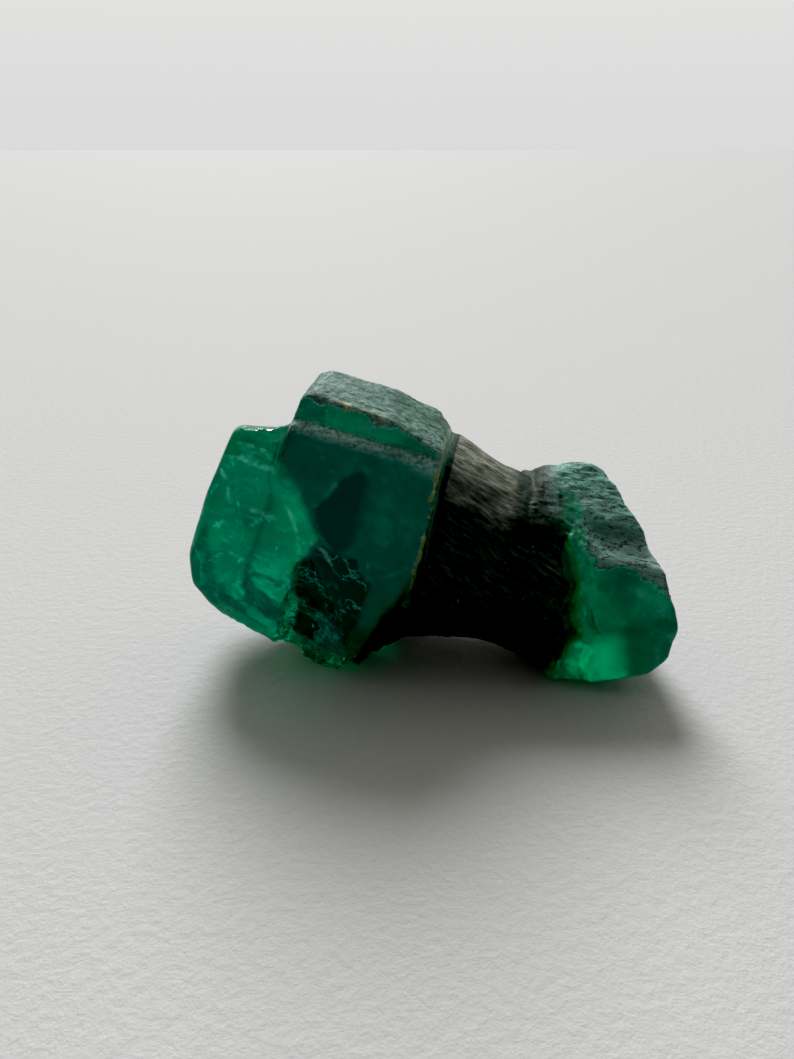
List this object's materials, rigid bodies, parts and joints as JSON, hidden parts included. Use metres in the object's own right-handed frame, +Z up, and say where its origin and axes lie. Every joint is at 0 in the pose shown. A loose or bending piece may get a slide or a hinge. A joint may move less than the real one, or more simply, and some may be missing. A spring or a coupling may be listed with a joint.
{
  "type": "raw emerald crystal",
  "caption": "Raw emerald lying on its side: stepped translucent green hexagonal ends joined by a dark ribbed waist, with etched tops and a broken lower front.",
  "frame": {"origin": "middle of the stone's box, at the level of the surface it rests on", "axes": "+X along the stone from the big end to the small end, -Y towards the broad prism faces, +Z up"},
  "size_m": [0.0184, 0.0082, 0.0114],
  "materials": {
    "emerald": "see-through green crystal with satin faces, frosted etched tops and a near-black matte waist"
  },
  "bodies": {
    "root": {"emerald_crystal": "emerald"}
  },
  "joints": []
}
